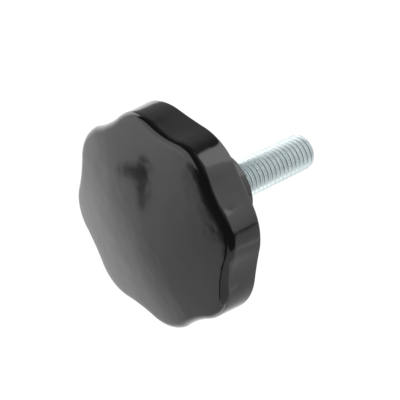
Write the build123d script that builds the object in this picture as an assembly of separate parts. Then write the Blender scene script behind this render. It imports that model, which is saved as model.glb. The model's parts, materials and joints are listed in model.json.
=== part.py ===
from build123d import *
import os
from math import asin, atan2, cos, degrees, hypot, pi, sin

# Star knob: an eight-lobed moulded clamping head and hub on an M10 x 45 steel screw, of which the last
# 30 mm stand free as the stud. Both pieces are drawn on the knob's own axis, with +Z towards the stud's
# tip and Z = 0 at the back plane of the rim. The whole is then laid down as it rests on a bench: on
# two neighbouring lobes of the back rim and on the stud's tip, with the face looking up and to -Y.

# ---- Driving dimensions, in millimetres ----

head_diameter = 60.0        # across two opposite lobes
lobe_count = 8
rim_depth = 10.6            # from the back plane to the edge of the domed face
dome_rise = 2.0             # of the middle of the face above its edge
shoulder_radius = 2.2       # of the rounding between the face and the side wall
back_edge_radius = 0.6      # of the rounding between the side wall and the back

back_crest_radius = 16.0    # the lobes are broad at the back, and the sides between them almost straight
back_hollow = 0.1           # how far a side dips inside the straight line from lobe to lobe
front_crest_radius = 10.5   # the lobes stand out more at the front
front_hollow = 0.9

hub_length = 16.0           # from the back plane to the seat face
hub_base_diameter = 24.0    # the hub narrows towards the seat, as a moulded hub does
hub_seat_diameter = 22.0
hub_root_radius = 1.0
hub_edge_radius = 0.6

stud_diameter = 10.0        # over the thread's crests
stud_reach = 30.0           # free length beyond the seat face
stud_chamfer = 1.0
screw_length = 45.0         # under the moulded-in hexagon head
moulded_in_diameter = 9.0   # half way down the thread, where the moulding grips it
relief_width = 0.5          # of the shallow ring that keeps the seat face clear of the stud
relief_depth = 0.5
screw_head_height = 6.4
screw_head_across_flats = 16.0

# ---- Values worked out from them ----

head_radius = head_diameter / 2
half_pitch = pi / lobe_count
face_height = rim_depth + dome_rise
dome_radius = (head_radius**2 + dome_rise**2) / (2 * dome_rise)
blank_depth = face_height + 1.0
stud_tip = hub_length + stud_reach
screw_head_seat = stud_tip - screw_length


def scalloped_outline(crest_radius, hollow, height):
    """A closed outline of tangent arcs at one height: round lobe crests and shallow hollows between."""
    crest_offset = head_radius - crest_radius
    half_gap = crest_offset * sin(half_pitch)
    hollow_radius = (half_gap**2 + hollow**2) / (2 * hollow) - crest_radius
    hollow_bottom = crest_offset * cos(half_pitch) + crest_radius - hollow
    arcs = []
    for lobe in range(lobe_count):
        crest_angle = (2 * lobe + 1) * half_pitch
        crest_centre = polar(crest_offset, crest_angle)
        joins = []
        for side in (-1, 1):
            hollow_centre = polar(hollow_bottom + hollow_radius, crest_angle + side * half_pitch)
            share = crest_radius / (crest_radius + hollow_radius)
            joins.append(crest_centre + (hollow_centre - crest_centre) * share)
        next_join = joins[0].rotate(Axis.Z, degrees(2 * half_pitch))
        arcs.append(ThreePointArc(joins[0], polar(head_radius, crest_angle), joins[1]))
        arcs.append(ThreePointArc(joins[1], polar(hollow_bottom, crest_angle + half_pitch), next_join))
    return Pos(0, 0, height) * make_face(Wire(arcs))


def polar(radius, angle):
    """The point of the XY plane at this radius and angle."""
    return Vector(radius * cos(angle), radius * sin(angle))


def head():
    """The lobed head: its side wall, the domed face, the rounded shoulder and the broken back edge."""
    back = scalloped_outline(back_crest_radius, back_hollow, 0)
    front = scalloped_outline(front_crest_radius, front_hollow, -blank_depth)
    blank = loft([back, front], ruled=True)
    # The ball lies on its side, so that neither its poles nor its seam fall on the face.
    ball = Pos(0, 0, dome_radius - face_height) * Rot(0, -90, 0) * Sphere(dome_radius)
    domed = blank & ball
    face_edges = domed.faces().sort_by(Axis.Z)[0].edges()
    domed = fillet(face_edges, shoulder_radius)
    back_edges = domed.faces().sort_by(Axis.Z)[-1].edges()
    return fillet(back_edges, back_edge_radius)


def hub():
    """The tapered hub behind the head, with its seat face broken at the edge."""
    cone = Pos(0, 0, hub_length / 2) * Cone(hub_base_diameter / 2, hub_seat_diameter / 2, hub_length)
    seat_edge = cone.faces().sort_by(Axis.Z)[-1].edges()
    return fillet(seat_edge, hub_edge_radius)


def threaded_stud():
    """The screw with its thread as plain rounds: hexagon head, moulded-in shank and chamfered free end."""
    hexagon = RegularPolygon(screw_head_across_flats / 2, 6, major_radius=False)
    screw_head = extrude(Pos(0, 0, screw_head_seat) * hexagon, -screw_head_height)
    shank_length = hub_length - screw_head_seat
    shank = extrude(Pos(0, 0, screw_head_seat) * Circle(moulded_in_diameter / 2), shank_length)
    free_end = extrude(Pos(0, 0, hub_length) * Circle(stud_diameter / 2), stud_reach)
    tip_edge = free_end.faces().sort_by(Axis.Z)[-1].edges()
    return screw_head + shank + chamfer(tip_edge, stud_chamfer)


def knob_body(stud):
    """The moulding: head and hub in one, shrunk tight around the screw."""
    body = head() + hub()
    root = body.edges().filter_by_position(Axis.Z, -0.01, 0.01).filter_by(lambda edge: edge.is_closed)
    body = fillet(root, hub_root_radius)
    relief = extrude(Pos(0, 0, hub_length) * Circle(stud_diameter / 2 + relief_width), -relief_depth)
    return body - relief - stud


def resting_tilt():
    """The angle, in degrees, by which the stud points below level when the knob lies on a bench."""
    crest_offset = head_radius - back_crest_radius
    rim_reach = crest_offset * cos(half_pitch) + back_crest_radius
    drop = rim_reach - back_edge_radius - stud_diameter / 2
    run = stud_tip - stud_chamfer + back_edge_radius
    return degrees(atan2(drop, run) + asin(back_edge_radius / hypot(drop, run)))


stud = threaded_stud()
pieces = {"knob_body": knob_body(stud), "threaded_stud": stud}

# The stud swings down from +Z to +Y and on below level, then the pair is set on the bench and centred.
laid_down = {name: Rot(-90 - resting_tilt(), 0, 0) * piece.solid() for name, piece in pieces.items()}
box = Compound(laid_down.values()).bounding_box()
on_bench = Pos(0, -box.center().Y, -box.min.Z)

os.makedirs("parts", exist_ok=True)
for name, piece in laid_down.items():
    export_step(on_bench * piece, f"parts/{name}.step")
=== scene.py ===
"""Star knob lying on a white sheet: black phenolic head and hub, zinc-plated M10 stud.

The knob is modelled on its own axis in millimetres, with +Z towards the stud's tip, Z = 0 at the back
plane of the rim and +Y towards the bench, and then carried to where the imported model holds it.
"""

import json
from math import asin, atan2, cos, hypot, pi, radians, sin, sqrt, tan

import bmesh
import bpy
from mathutils import Matrix, Vector


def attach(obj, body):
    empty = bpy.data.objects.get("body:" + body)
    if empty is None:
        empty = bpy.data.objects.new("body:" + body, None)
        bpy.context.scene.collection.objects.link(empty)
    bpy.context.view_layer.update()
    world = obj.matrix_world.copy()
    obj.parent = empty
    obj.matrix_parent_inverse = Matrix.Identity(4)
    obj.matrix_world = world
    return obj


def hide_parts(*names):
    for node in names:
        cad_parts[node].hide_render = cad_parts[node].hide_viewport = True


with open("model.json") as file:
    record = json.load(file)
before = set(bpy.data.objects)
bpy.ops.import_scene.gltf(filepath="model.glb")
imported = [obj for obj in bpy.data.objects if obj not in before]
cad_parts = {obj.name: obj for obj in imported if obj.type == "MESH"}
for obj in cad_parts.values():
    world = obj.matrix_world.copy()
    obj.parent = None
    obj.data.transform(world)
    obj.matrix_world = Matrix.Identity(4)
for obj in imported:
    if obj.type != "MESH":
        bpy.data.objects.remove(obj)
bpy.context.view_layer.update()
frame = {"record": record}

MM = 0.001

# ---- Sizes of the knob, in millimetres ----

HEAD_RADIUS = 30.0
LOBES = 8
RIM_DEPTH = 10.6
DOME_RISE = 2.0
SHOULDER_RADIUS = 2.2
BACK_EDGE_RADIUS = 0.6
BACK_CREST_RADIUS = 16.0
BACK_HOLLOW = 0.1
FRONT_CREST_RADIUS = 10.5
FRONT_HOLLOW = 0.9
HUB_LENGTH = 16.0
HUB_BASE_RADIUS = 12.0
HUB_SEAT_RADIUS = 11.0
HUB_ROOT_RADIUS = 1.0
HUB_EDGE_RADIUS = 0.6
STUD_RADIUS = 5.0
STUD_REACH = 30.0
STUD_CHAMFER = 1.0
RELIEF_WIDTH = 0.5
RELIEF_DEPTH = 0.5
THREAD_PITCH = 1.5

FACE_HEIGHT = RIM_DEPTH + DOME_RISE
DOME_RADIUS = (HEAD_RADIUS**2 + DOME_RISE**2) / (2 * DOME_RISE)
DOME_CENTRE = DOME_RADIUS - FACE_HEIGHT
BLANK_DEPTH = FACE_HEIGHT + 1.0
HALF_PITCH = pi / LOBES

# Shares of the pitch, counted from the middle of a crest.
CREST_END = 1 / 16
CREST_BREAK = 0.03
FLANK_END = 3 / 8
ROOT_ROUNDING = 0.1443

# Millimetres: the spare turns past the tip grow no thinner than this before they are cut off.
LEAST_THREAD_RADIUS = 1.0

# ---- Fineness of the meshes ----

POINTS_PER_ARC = 24
THREAD_SIDES = 96
EDGE_STEPS = 6
BACK_RINGS = 6
WALL_RINGS = 10
SHOULDER_STEPS = 12
FACE_RINGS = 16
THREAD_ROOT_STEPS = 3

# ---- Surfaces: millimetres ----

# Most values of a noise node lie between these two.
NOISE_SPREAD = (0.3, 0.7)
WAVE_SPACING = 9.0
WAVE_HEIGHT = 0.15
PEEL_SPACING = 1.2
PEEL_HEIGHT = 0.004
PLATING_PATCH = 4.0
# Below the thread's crests: painted shade makes the roots fully dark grey at the first depth, and is gone
# from the second depth up.
FULL_ROOT_SHADE_DEPTH = 0.9
ROOT_SHADE_END_DEPTH = 0.45

# ---- Camera: millimetres and degrees ----

CAMERA_LENS = 192.4
SENSOR_WIDTH = 36.0
CAMERA_AIM = (-0.1, -4.7, 26.7)
CAMERA_DISTANCE = 554.9
CAMERA_AZIMUTH = -102.06
CAMERA_ELEVATION = 80.71
CAMERA_ROLL = 77.8
# Nearest and furthest that the camera sees, in metres.
CAMERA_RANGE = (0.01, 10.0)

# ---- The studio: millimetres, degrees, and brightness as a share of white ----

KNOB_MIDDLE = 30.0
SHEET_HALF_WIDTH = 900.0
SHEET_OWN_LIGHT = 0.78
# In the gloss the sheet dims along X between two places, and has a pool of light along Y that starts at
# the first place, peaks at the second and ends at the third.
SLOPE_PLACES = (-55.0, 20.0)
SLOPE_LEVELS = (1.5, 0.76)
POOL_PLACES = (-82.0, -28.0, 10.0)
POOL_LEVEL = 1.5
CANOPY_RADIUS = 880.0
CANOPY_LEVEL = 0.025
GLOW_MIDDLE = (105, 30)
# The cosine of the angle from the glow's middle at which it ends.
GLOW_END = 0.6
GLOW_LEVEL = 0.55
# Heights above the sheet where the cards start and the two legs lie, so that no faces share a plane.
CARD_LIFT = 0.2
LEG_HEIGHTS = (0.3, 0.6)
DARK_CARD_EDGES = (125.6, 186)
DARK_CARD_FOOT_EDGE = 136
DARK_CARD_HEIGHT = 260.0
DARK_CARD_DISTANCE = 560.0
DARK_CARD_FOOT_DISTANCE = 60.0
DARK_CARD_FADE_HEIGHT = 120.0
DARK_CARD_LEVELS = (0.4, 0.08)
FRONT_CARD_SPAN = (-24, 150)
FRONT_CARD_PLACE = -250
FRONT_CARD_HEIGHT = 38
LAMP_FOOT_LEVEL = 0.06


def knob_placement():
    """Where the knob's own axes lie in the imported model, read from its stud and its seat face."""
    stud = next(m for m in frame["record"]["mounts"] if m["name"] == "stud")
    along = Vector(stud["axis"]).normalized()
    across = Vector((1, 0, 0))
    down = along.cross(across)
    back_plane_centre = Vector(stud["pos_m"]) - along * HUB_LENGTH * MM
    turn = Matrix((across, down, along)).transposed().to_4x4()
    return Matrix.Translation(back_plane_centre) @ turn @ Matrix.Scale(MM, 4)


PLACEMENT = knob_placement()


# ---- Meshes ----


def polar(radius, angle, height=0.0):
    """A point given by its radius and angle about the knob's axis."""
    return Vector((radius * cos(angle), radius * sin(angle), height))


def scalloped_outline(crest_radius, hollow):
    """Points and outward directions round the head: lobe crests and shallow hollows, arc by arc."""
    crest_offset = HEAD_RADIUS - crest_radius
    half_gap = crest_offset * sin(HALF_PITCH)
    hollow_radius = (half_gap**2 + hollow**2) / (2 * hollow) - crest_radius
    hollow_offset = crest_offset * cos(HALF_PITCH) + crest_radius - hollow + hollow_radius
    # Half the turn of a crest arc and of a hollow arc, as seen from their own centres.
    lean = asin(half_gap / (crest_radius + hollow_radius))
    crest_half_turn = HALF_PITCH + lean
    outline = []
    for lobe in range(LOBES):
        crest_angle = (2 * lobe + 1) * HALF_PITCH
        hollow_angle = crest_angle + HALF_PITCH
        for step in range(POINTS_PER_ARC):
            share = 2 * step / POINTS_PER_ARC - 1
            outward = polar(1, crest_angle + share * crest_half_turn)
            outline.append((polar(crest_offset, crest_angle) + outward * crest_radius, outward))
        for step in range(POINTS_PER_ARC):
            share = 2 * step / POINTS_PER_ARC - 1
            outward = polar(1, hollow_angle - share * lean)
            outline.append((polar(hollow_offset, hollow_angle) - outward * hollow_radius, outward))
    return outline


BACK_OUTLINE = scalloped_outline(BACK_CREST_RADIUS, BACK_HOLLOW)
FRONT_OUTLINE = scalloped_outline(FRONT_CREST_RADIUS, FRONT_HOLLOW)


def arc(count, first, last):
    """Evenly spaced values from first to last, both ends included."""
    return [first + (last - first) * step / count for step in range(count + 1)]


def side_wall_ring(height):
    """The head's outline on its side wall at one height, and the outward directions there."""
    share = -height / BLANK_DEPTH
    ring = []
    for (back, back_out), (front, front_out) in zip(BACK_OUTLINE, FRONT_OUTLINE):
        point = back.lerp(front, share)
        ring.append((Vector((point.x, point.y, height)), back_out.lerp(front_out, share).normalized()))
    return ring


def dome_height(radius):
    """How high the face lies at this radius from the knob's axis."""
    return DOME_CENTRE - sqrt(DOME_RADIUS**2 - radius**2)


def shoulder_balls():
    """For each point of the outline, the ball that touches the side wall and the dome from inside."""
    dome_middle = Vector((0, 0, DOME_CENTRE))
    balls = []
    for wall_point, outward in side_wall_ring(-RIM_DEPTH + SHOULDER_RADIUS):
        centre = wall_point - outward * SHOULDER_RADIUS
        reach = hypot(centre.x, centre.y)
        centre.z = DOME_CENTRE - sqrt((DOME_RADIUS - SHOULDER_RADIUS) ** 2 - reach**2)
        balls.append((centre, outward, (centre - dome_middle).normalized()))
    return balls


def head_rings():
    """Rings from the hub's root out over the back, up the side wall and round the shoulder to the face."""
    rings = []
    root = HUB_BASE_RADIUS + HUB_ROOT_RADIUS
    edge_ring = side_wall_ring(0)
    for share in arc(BACK_RINGS, 0, 1):
        ring = []
        for point, outward in edge_ring:
            edge = point - outward * BACK_EDGE_RADIUS
            ring.append((edge.normalized() * root).lerp(edge, share))
        rings.append(ring)
    for angle in arc(EDGE_STEPS, 0, pi / 2)[1:]:
        inset = BACK_EDGE_RADIUS * (1 - sin(angle))
        height = -BACK_EDGE_RADIUS * (1 - cos(angle))
        rings.append([point - outward * inset for point, outward in side_wall_ring(height)])
    balls = shoulder_balls()
    wall_top = [ball[0].z for ball in balls]
    for row in range(1, WALL_RINGS):
        ring = []
        for place, top in enumerate(wall_top):
            height = -BACK_EDGE_RADIUS + (top + BACK_EDGE_RADIUS) * row / WALL_RINGS
            share = -height / BLANK_DEPTH
            flat = BACK_OUTLINE[place][0].lerp(FRONT_OUTLINE[place][0], share)
            ring.append(Vector((flat.x, flat.y, height)))
        rings.append(ring)
    for share in arc(SHOULDER_STEPS, 0, 1):
        rings.append([centre + out.slerp(up, share) * SHOULDER_RADIUS for centre, out, up in balls])
    touch = rings[-1]
    for share in arc(FACE_RINGS, 1, 0)[1:-1]:
        ring = []
        for point in touch:
            x, y = point.x * share, point.y * share
            ring.append(Vector((x, y, dome_height(hypot(x, y)))))
        rings.append(ring)
    return rings


def hub_rings():
    """Rings from the seat face back down the hub's taper to its root on the back of the rim."""
    taper = atan2(HUB_BASE_RADIUS - HUB_SEAT_RADIUS, HUB_LENGTH)
    angles = [atan2(out.y, out.x) for out, _ in BACK_OUTLINE]
    relief_radius = STUD_RADIUS + RELIEF_WIDTH
    profile = [(relief_radius, HUB_LENGTH - RELIEF_DEPTH), (relief_radius, HUB_LENGTH)]
    edge_reach = HUB_EDGE_RADIUS * tan(pi / 4 + taper / 2)
    edge_centre = (HUB_SEAT_RADIUS - edge_reach, HUB_LENGTH - HUB_EDGE_RADIUS)
    for angle in arc(EDGE_STEPS, pi / 2, taper):
        profile.append(
            (edge_centre[0] + HUB_EDGE_RADIUS * cos(angle), edge_centre[1] + HUB_EDGE_RADIUS * sin(angle))
        )
    root_centre = (HUB_BASE_RADIUS + HUB_ROOT_RADIUS, HUB_ROOT_RADIUS)
    for angle in arc(EDGE_STEPS, pi + taper, 3 * pi / 2):
        profile.append(
            (root_centre[0] + HUB_ROOT_RADIUS * cos(angle), root_centre[1] + HUB_ROOT_RADIUS * sin(angle))
        )
    return [[polar(radius, angle, height) for angle in angles] for radius, height in profile[:-1]]


def skin(mesh, rings):
    """Joins neighbouring rings of as many points with four-sided faces."""
    rows = [[mesh.verts.new(point) for point in ring] for ring in rings]
    for row, next_row in zip(rows, rows[1:]):
        for place in range(len(row)):
            beside = (place + 1) % len(row)
            mesh.faces.new((row[place], row[beside], next_row[beside], next_row[place]))
    return rows


def close_ring(mesh, row, middle):
    """Closes an end ring with a fan of triangles to its middle."""
    centre = mesh.verts.new(middle)
    for place in range(len(row)):
        mesh.faces.new((row[place], row[(place + 1) % len(row)], centre))


def placed(name, data):
    """Puts a mesh, lamp or camera into the scene as an object."""
    made = bpy.data.objects.new(name, data)
    bpy.context.scene.collection.objects.link(made)
    return made


def piece(name, mesh, node, material):
    """Makes a smooth-shaded object of the mesh, in its place, that stands for one node of the model."""
    bmesh.ops.recalc_face_normals(mesh, faces=mesh.faces)
    data = bpy.data.meshes.new(name)
    mesh.to_mesh(data)
    mesh.free()
    data.transform(PLACEMENT)
    data.shade_smooth()
    data.materials.append(material)
    made = placed(name, data)
    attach(made, "root")
    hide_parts(node)


def knob_moulding(material):
    """Head and hub as one closed skin, from the relief round the stud to the middle of the face."""
    mesh = bmesh.new()
    rings = hub_rings() + head_rings()
    rows = skin(mesh, rings)
    close_ring(mesh, rows[0], (0, 0, HUB_LENGTH - RELIEF_DEPTH))
    close_ring(mesh, rows[-1], (0, 0, -FACE_HEIGHT))
    piece("knob_moulding", mesh, "knob_body", material)


def thread_profile():
    """One turn of the 60 degree thread as (share of the pitch, radius): crest, flank, root, flank."""
    slope = 1 / tan(radians(30))
    root_radius = THREAD_PITCH * ROOT_ROUNDING
    flank_end = STUD_RADIUS - (FLANK_END - CREST_END) * THREAD_PITCH * slope
    root_centre = flank_end + root_radius * cos(radians(60))
    half = [(0.0, STUD_RADIUS), (CREST_END - CREST_BREAK, STUD_RADIUS)]
    for share in (CREST_END + CREST_BREAK, (CREST_END + FLANK_END) / 2):
        half.append((share, STUD_RADIUS - (share - CREST_END) * THREAD_PITCH * slope))
    for angle in arc(THREAD_ROOT_STEPS, radians(60), 0)[:-1]:
        half.append((0.5 - ROOT_ROUNDING * sin(angle), root_centre - root_radius * cos(angle)))
    rest = [(1 - share, radius) for share, radius in reversed(half[1:])]
    return half + [(0.5, root_centre - root_radius)] + rest


def stud_thread(material):
    """The free end of the screw with its right-hand thread, cut off by the chamfer at the tip."""
    mesh = bmesh.new()
    start = HUB_LENGTH - RELIEF_DEPTH
    tip = HUB_LENGTH + STUD_REACH
    profile = thread_profile()
    # The spare turns before the start and past the tip are cut off below.
    turns = int((tip - start) / THREAD_PITCH) + 3
    rows = []
    for row in range(turns * len(profile)):
        turn, step = divmod(row, len(profile))
        share, radius = profile[step]
        points = []
        for side in range(THREAD_SIDES):
            wound = turn - 2 + share + side / THREAD_SIDES
            height = start + wound * THREAD_PITCH
            chamfer = STUD_RADIUS - STUD_CHAMFER + tip - height
            angle = 2 * pi * side / THREAD_SIDES
            reach = max(LEAST_THREAD_RADIUS, min(radius, chamfer))
            points.append(mesh.verts.new(polar(reach, angle, height)))
        rows.append(points)
    for row, next_row in zip(rows, rows[1:]):
        for side in range(THREAD_SIDES - 1):
            mesh.faces.new((row[side], row[side + 1], next_row[side + 1], next_row[side]))
    # The last point of a row runs on into the first point of the row one turn further along the helix.
    ahead = rows[len(profile):]
    for row, next_row, on, next_on in zip(rows, rows[1:], ahead, ahead[1:]):
        mesh.faces.new((row[-1], on[0], next_on[0], next_row[-1]))
    for height, side in ((start, -1), (tip, 1)):
        everything = mesh.verts[:] + mesh.edges[:] + mesh.faces[:]
        bmesh.ops.bisect_plane(
            mesh, geom=everything, plane_co=(0, 0, height), plane_no=(0, 0, side), clear_outer=True
        )
        open_edges = [edge for edge in mesh.edges if edge.is_boundary]
        cut = [edge for edge in open_edges if all(abs(v.co.z - height) < 1e-4 for v in edge.verts)]
        bmesh.ops.edgenet_fill(mesh, edges=cut)
    piece("stud_thread", mesh, "threaded_stud", material)


# ---- Materials ----


def linear(code):
    """The linear colour of an sRGB hex value."""
    channels = [int(code[at:at + 2], 16) / 255 for at in (1, 3, 5)]
    return [c / 12.92 if c <= 0.04045 else ((c + 0.055) / 1.055) ** 2.4 for c in channels] + [1.0]


def add_node(tree, kind, settings=None, inputs=None):
    """Adds a node, sets its properties, and sets each input or links it to another node's output."""
    node = tree.nodes.new(kind)
    for name, value in (settings or {}).items():
        setattr(node, name, value)
    for name, value in (inputs or {}).items():
        if isinstance(value, bpy.types.NodeSocket):
            tree.links.new(value, node.inputs[name])
        else:
            node.inputs[name].default_value = value
    return node


def new_material(name):
    """A material with no nodes yet, and its node tree."""
    material = bpy.data.materials.new(name)
    material.use_nodes = True
    material.node_tree.nodes.clear()
    return material, material.node_tree


def moulded_phenolic():
    """Black phenolic resin, press moulded in a polished tool: a deep gloss over slow, shallow waves."""
    material, tree = new_material("moulded_phenolic")
    place = add_node(tree, "ShaderNodeTexCoord").outputs["Object"]
    flow = add_node(
        tree,
        "ShaderNodeTexNoise",
        inputs={"Vector": place, "Scale": 1 / (WAVE_SPACING * MM), "Detail": 2.0, "Roughness": 0.5},
    )
    orange_peel = add_node(
        tree,
        "ShaderNodeTexNoise",
        inputs={"Vector": place, "Scale": 1 / (PEEL_SPACING * MM), "Detail": 3.0, "Roughness": 0.6},
    )
    waves = add_node(
        tree,
        "ShaderNodeBump",
        inputs={"Height": flow.outputs["Fac"], "Strength": 1.0, "Distance": WAVE_HEIGHT * MM},
    )
    peel = add_node(
        tree,
        "ShaderNodeBump",
        inputs={
            "Height": orange_peel.outputs["Fac"],
            "Strength": 1.0,
            "Distance": PEEL_HEIGHT * MM,
            "Normal": waves.outputs["Normal"],
        },
    )
    gloss = add_node(
        tree,
        "ShaderNodeMapRange",
        inputs={
            "Value": flow.outputs["Fac"],
            "From Min": NOISE_SPREAD[0],
            "From Max": NOISE_SPREAD[1],
            "To Min": 0.10,
            "To Max": 0.16,
        },
    )
    shader = add_node(
        tree,
        "ShaderNodeBsdfPrincipled",
        inputs={
            "Base Color": linear("#0d0d0e"),
            "Roughness": gloss.outputs["Result"],
            "IOR": 1.6,
            "Normal": peel.outputs["Normal"],
        },
    )
    add_node(tree, "ShaderNodeOutputMaterial", inputs={"Surface": shader.outputs["BSDF"]})
    return material


def distance_from_axis(tree, place):
    """How far a place is from the knob's own axis, in metres."""
    origin = PLACEMENT.to_translation()
    axis = (PLACEMENT.to_3x3() @ Vector((0, 0, 1))).normalized()
    from_origin = add_node(tree, "ShaderNodeVectorMath", {"operation": "SUBTRACT"}, {0: place, 1: origin})
    around = add_node(
        tree, "ShaderNodeVectorMath", {"operation": "CROSS_PRODUCT"}, {0: from_origin.outputs[0], 1: axis}
    )
    length = add_node(tree, "ShaderNodeVectorMath", {"operation": "LENGTH"}, {0: around.outputs[0]})
    return length.outputs["Value"]


def zinc_plate():
    """Rolled steel thread under blue-passivated zinc: a cool veiled shine, with painted shade that darkens
    the thread's roots to grey.

    How metallic and how rough it is was matched to the object, and isn't measured.
    """
    material, tree = new_material("zinc_plate")
    place = add_node(tree, "ShaderNodeTexCoord").outputs["Object"]
    # Painted shade: the colour darkens to grey towards the thread's roots, standing in for the shade that
    # falls in them.
    root_shade = add_node(
        tree,
        "ShaderNodeMapRange",
        {"interpolation_type": "SMOOTHSTEP"},
        {
            "Value": distance_from_axis(tree, place),
            "From Min": (STUD_RADIUS - FULL_ROOT_SHADE_DEPTH) * MM,
            "From Max": (STUD_RADIUS - ROOT_SHADE_END_DEPTH) * MM,
        },
    )
    bath = add_node(
        tree,
        "ShaderNodeTexNoise",
        inputs={"Vector": place, "Scale": 1 / (PLATING_PATCH * MM), "Detail": 3.0, "Roughness": 0.6},
    )
    plated = add_node(
        tree,
        "ShaderNodeMix",
        {"data_type": "RGBA"},
        {"Factor": bath.outputs["Fac"], "A": linear("#d9e9ee"), "B": linear("#f0f7f7")},
    )
    # Painted shade: dark grey deep in the thread's roots, and the plated colour nearer the crests.
    tint = add_node(
        tree,
        "ShaderNodeMix",
        {"data_type": "RGBA"},
        {"Factor": root_shade.outputs["Result"], "A": linear("#5f6b70"), "B": plated.outputs["Result"]},
    )
    gloss = add_node(
        tree,
        "ShaderNodeMapRange",
        inputs={
            "Value": bath.outputs["Fac"],
            "From Min": NOISE_SPREAD[0],
            "From Max": NOISE_SPREAD[1],
            "To Min": 0.22,
            "To Max": 0.32,
        },
    )
    shader = add_node(
        tree,
        "ShaderNodeBsdfPrincipled",
        inputs={
            "Base Color": tint.outputs["Result"],
            "Metallic": 0.48,
            "Roughness": gloss.outputs["Result"],
        },
    )
    add_node(tree, "ShaderNodeOutputMaterial", inputs={"Surface": shader.outputs["BSDF"]})
    return material


# ---- The studio ----


def direction(azimuth, elevation):
    """A direction from the knob: azimuth 0 is +X and 90 is +Y, elevation is above the sheet."""
    a, e = radians(azimuth), radians(elevation)
    return Vector((cos(a) * cos(e), sin(a) * cos(e), sin(e)))


def stage_piece(name, data, material):
    """A piece of the studio, which isn't part of the knob."""
    data.materials.append(material)
    made = placed(name, data)
    return made


def flat_faces(name, corners, faces):
    """A mesh of a few flat faces, from corners in millimetres."""
    data = bpy.data.meshes.new(name)
    data.from_pydata([Vector(corner) * MM for corner in corners], [], faces)
    return data


def only_in_gloss(made):
    """Leaves the piece for the knob's gloss to mirror, and hides it from everything else."""
    made.visible_camera = False
    made.visible_diffuse = False
    made.visible_transmission = False
    made.visible_shadow = False


def sheet_in_gloss(tree):
    """How bright the sheet looks in the knob's gloss: it dims along X, and has a pool of light along Y."""
    place = add_node(tree, "ShaderNodeNewGeometry").outputs["Position"]
    plan = add_node(tree, "ShaderNodeSeparateXYZ", inputs={"Vector": place}).outputs
    slope = add_node(
        tree,
        "ShaderNodeMapRange",
        inputs={
            "Value": plan["X"],
            "From Min": SLOPE_PLACES[0] * MM,
            "From Max": SLOPE_PLACES[1] * MM,
            "To Min": SLOPE_LEVELS[0],
            "To Max": SLOPE_LEVELS[1],
        },
    )
    pool = add_node(
        tree,
        "ShaderNodeMapRange",
        {"interpolation_type": "SMOOTHSTEP"},
        {
            "Value": plan["Y"],
            "From Min": POOL_PLACES[0] * MM,
            "From Max": POOL_PLACES[1] * MM,
            "To Max": POOL_LEVEL,
        },
    )
    beyond = add_node(
        tree,
        "ShaderNodeMapRange",
        {"interpolation_type": "SMOOTHSTEP"},
        {
            "Value": plan["Y"],
            "From Min": POOL_PLACES[1] * MM,
            "From Max": POOL_PLACES[2] * MM,
            "To Min": 1.0,
            "To Max": 0.0,
        },
    )
    pool_here = add_node(
        tree,
        "ShaderNodeMath",
        {"operation": "MULTIPLY"},
        {0: pool.outputs["Result"], 1: beyond.outputs["Result"]},
    )
    level = add_node(tree, "ShaderNodeMath", inputs={0: slope.outputs["Result"], 1: pool_here.outputs[0]})
    return level.outputs[0]


def white_sheet():
    """White paper under strong light: it keeps a faint shadow, and gloss sees the light pooled on it."""
    material, tree = new_material("white_sheet")
    rays = add_node(tree, "ShaderNodeLightPath").outputs
    paper = add_node(tree, "ShaderNodeBsdfDiffuse", inputs={"Color": linear("#f0f0f0")})
    faint = add_node(tree, "ShaderNodeBsdfDiffuse", inputs={"Color": linear("#959595")})
    glow = add_node(tree, "ShaderNodeEmission", inputs={"Strength": SHEET_OWN_LIGHT})
    seen = add_node(tree, "ShaderNodeAddShader", inputs={0: faint.outputs[0], 1: glow.outputs[0]})
    mirrored = add_node(tree, "ShaderNodeEmission", inputs={"Strength": sheet_in_gloss(tree)})
    looked_at = add_node(
        tree,
        "ShaderNodeMixShader",
        inputs={"Fac": rays["Is Camera Ray"], 1: mirrored.outputs[0], 2: seen.outputs[0]},
    )
    # 1 for a ray that looks at the sheet, straight or by way of gloss or glass, and 0 for one that lights.
    looking = rays["Is Camera Ray"]
    for ray in ("Is Glossy Ray", "Is Transmission Ray"):
        either = add_node(tree, "ShaderNodeMath", {"operation": "MAXIMUM"}, {0: looking, 1: rays[ray]})
        looking = either.outputs[0]
    mix = add_node(
        tree, "ShaderNodeMixShader", inputs={"Fac": looking, 1: paper.outputs[0], 2: looked_at.outputs[0]}
    )
    add_node(tree, "ShaderNodeOutputMaterial", inputs={"Surface": mix.outputs[0]})
    return material


def floor():
    """The white sheet that the knob lies on."""
    half = SHEET_HALF_WIDTH
    corners = [(x * half, y * half, 0) for x, y in ((-1, -1), (1, -1), (1, 1), (-1, 1))]
    stage_piece("white_sheet", flat_faces("white_sheet", corners, [(0, 1, 2, 3)]), white_sheet())


def room():
    """A plain white room, which lights the knob evenly from all sides."""
    world = bpy.data.worlds.new("white_room")
    bpy.context.scene.world = world
    world.use_nodes = True
    tree = world.node_tree
    tree.nodes.clear()
    white = add_node(tree, "ShaderNodeBackground", inputs={"Color": linear("#ffffff"), "Strength": 1.0})
    add_node(tree, "ShaderNodeOutputWorld", inputs={"Surface": white.outputs[0]})


def softbox(name, azimuths, elevations, distance, level):
    """An upright lamp that fills these angles as seen from the knob. Its level is how bright its face is."""
    left, right = (radians(angle) for angle in azimuths)
    low, high = (distance * tan(radians(angle)) for angle in elevations)
    data = bpy.data.lights.new(name, "AREA")
    data.shape = "RECTANGLE"
    data.size = 2 * distance * tan((right - left) / 2) * MM
    data.size_y = (high - low) * MM
    # A matt face of radiance L gives out pi * L watts for each square metre.
    data.energy = level * pi * data.size * data.size_y
    made = placed(name, data)
    middle = (left + right) / 2
    away = Vector((cos(middle), sin(middle), 0))
    made.location = (away * distance + Vector((0, 0, KNOB_MIDDLE + (low + high) / 2))) * MM
    made.rotation_euler = away.to_track_quat("Z", "Y").to_euler()
    made.visible_camera = False


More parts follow.
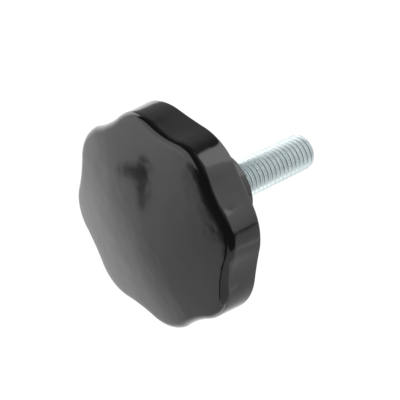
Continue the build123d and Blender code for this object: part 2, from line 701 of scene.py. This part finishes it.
def black_cloth():
    """Black cloth that takes some light from the back lamps, fading out from the middle of their glow."""
    material, tree = new_material("black_cloth")
    place = add_node(tree, "ShaderNodeNewGeometry").outputs["Position"]
    outward = add_node(tree, "ShaderNodeVectorMath", {"operation": "NORMALIZE"}, {0: place})
    towards_lamps = add_node(
        tree,
        "ShaderNodeVectorMath",
        {"operation": "DOT_PRODUCT"},
        {0: outward.outputs["Vector"], 1: direction(*GLOW_MIDDLE)},
    )
    nearness = add_node(
        tree, "ShaderNodeMapRange", inputs={"Value": towards_lamps.outputs["Value"], "From Min": GLOW_END}
    )
    fade = add_node(
        tree, "ShaderNodeMath", {"operation": "POWER"}, {0: nearness.outputs["Result"], 1: 2.0}
    )
    level = add_node(
        tree,
        "ShaderNodeMath",
        {"operation": "MULTIPLY_ADD"},
        {0: fade.outputs[0], 1: GLOW_LEVEL, 2: CANOPY_LEVEL},
    )
    cloth = add_node(tree, "ShaderNodeEmission", inputs={"Strength": level.outputs[0]})
    add_node(tree, "ShaderNodeOutputMaterial", inputs={"Surface": cloth.outputs[0]})
    return material


def canopy():
    """Cloth hung over the whole set, which keeps the gloss deep."""
    mesh = bmesh.new()
    bmesh.ops.create_uvsphere(mesh, u_segments=48, v_segments=24, radius=CANOPY_RADIUS * MM)
    below = [vertex for vertex in mesh.verts if vertex.co.z < -1e-4]
    bmesh.ops.delete(mesh, geom=below, context="VERTS")
    data = bpy.data.meshes.new("black_canopy")
    mesh.to_mesh(data)
    mesh.free()
    only_in_gloss(stage_piece("black_canopy", data, black_cloth()))


def faded_card():
    """Dark card that catches some light at its foot and little higher up."""
    material, tree = new_material("dark_card")
    place = add_node(tree, "ShaderNodeNewGeometry").outputs["Position"]
    height = add_node(tree, "ShaderNodeSeparateXYZ", inputs={"Vector": place}).outputs["Z"]
    level = add_node(
        tree,
        "ShaderNodeMapRange",
        inputs={
            "Value": height,
            "From Max": DARK_CARD_FADE_HEIGHT * MM,
            "To Min": DARK_CARD_LEVELS[0],
            "To Max": DARK_CARD_LEVELS[1],
        },
    )
    face = add_node(tree, "ShaderNodeEmission", inputs={"Strength": level.outputs["Result"]})
    add_node(tree, "ShaderNodeOutputMaterial", inputs={"Surface": face.outputs[0]})
    return material


def dark_card():
    """A dark card stood on the sheet, with its foot laid towards the knob: it shows only in the gloss."""
    near, far = DARK_CARD_FOOT_DISTANCE, DARK_CARD_DISTANCE
    low, top = CARD_LIFT, DARK_CARD_HEIGHT
    right, left = DARK_CARD_EDGES
    outline = [
        (DARK_CARD_FOOT_EDGE, near, low),
        (right, far, low),
        (right, far, top),
        (left, far, top),
        (left, far, low),
        (left, near, low),
    ]
    corners = [direction(azimuth, 0) * distance + Vector((0, 0, z)) for azimuth, distance, z in outline]
    data = flat_faces("dark_card", corners, [(0, 1, 4, 5), (1, 2, 3, 4)])
    only_in_gloss(stage_piece("dark_card", data, faded_card()))


def black_card():
    """Black card, as dark in the gloss as the cloth away from the lamps."""
    material, tree = new_material("black_card")
    face = add_node(tree, "ShaderNodeEmission", inputs={"Strength": CANOPY_LEVEL})
    add_node(tree, "ShaderNodeOutputMaterial", inputs={"Surface": face.outputs[0]})
    return material


def front_card():
    """A low black card across the front of the set, which ends the sheet in the face's gloss."""
    left, right = FRONT_CARD_SPAN
    y, low, top = FRONT_CARD_PLACE, CARD_LIFT, FRONT_CARD_HEIGHT
    corners = [(left, y, low), (right, y, low), (right, y, top), (left, y, top)]
    data = flat_faces("front_card", corners, [(0, 1, 2, 3)])
    only_in_gloss(stage_piece("front_card", data, black_card()))


def painted_foot():
    """Dark paint, faintly blue."""
    material, tree = new_material("painted_foot")
    paint = add_node(
        tree, "ShaderNodeEmission", inputs={"Color": linear("#e3e9ff"), "Strength": LAMP_FOOT_LEVEL}
    )
    add_node(tree, "ShaderNodeOutputMaterial", inputs={"Surface": paint.outputs[0]})
    return material


def lamp_foot():
    """The two-legged dark foot of a lamp stand, which lies flat and shows only in the gloss."""
    low, high = LEG_HEIGHTS
    legs = [
        [(-23, -79, low), (-18.5, -79, low), (-16, -108, low), (-22, -110, low)],
        [(-28, -116, high), (-20, -122, high), (-2, -88, high), (-7, -85, high)],
    ]
    data = flat_faces("lamp_foot", legs[0] + legs[1], [(0, 1, 2, 3), (4, 5, 6, 7)])
    only_in_gloss(stage_piece("lamp_foot", data, painted_foot()))


def camera():
    """Looks down steeply at the knob through a long lens."""
    data = bpy.data.cameras.new("camera")
    data.lens = CAMERA_LENS
    data.sensor_width = SENSOR_WIDTH
    data.clip_start, data.clip_end = CAMERA_RANGE
    made = placed("camera", data)
    back = direction(CAMERA_AZIMUTH, CAMERA_ELEVATION)
    upright = back.to_track_quat("Z", "Y").to_matrix().to_4x4()
    made.matrix_world = (
        Matrix.Translation(Vector(CAMERA_AIM) * MM + back * CAMERA_DISTANCE * MM)
        @ upright
        @ Matrix.Rotation(radians(CAMERA_ROLL), 4, "Z")
    )
    bpy.context.scene.camera = made


knob_moulding(moulded_phenolic())
stud_thread(zinc_plate())
floor()
room()
softbox("tall_softbox", azimuths=(61, 98), elevations=(-4, 43), distance=600, level=0.8)
softbox("bright_softbox", azimuths=(98, 128), elevations=(-4, 33), distance=600, level=1.7)
softbox("corner_softbox", azimuths=(20, 59), elevations=(-4, 18), distance=500, level=0.72)
softbox("side_softbox", azimuths=(-62, 20), elevations=(-4, 28), distance=500, level=0.55)
softbox("front_softbox", azimuths=(-148, -98), elevations=(-4, 42), distance=600, level=1.3)
dark_card()
front_card()
lamp_foot()
canopy()
camera()
bpy.context.scene.view_settings.view_transform = "Standard"
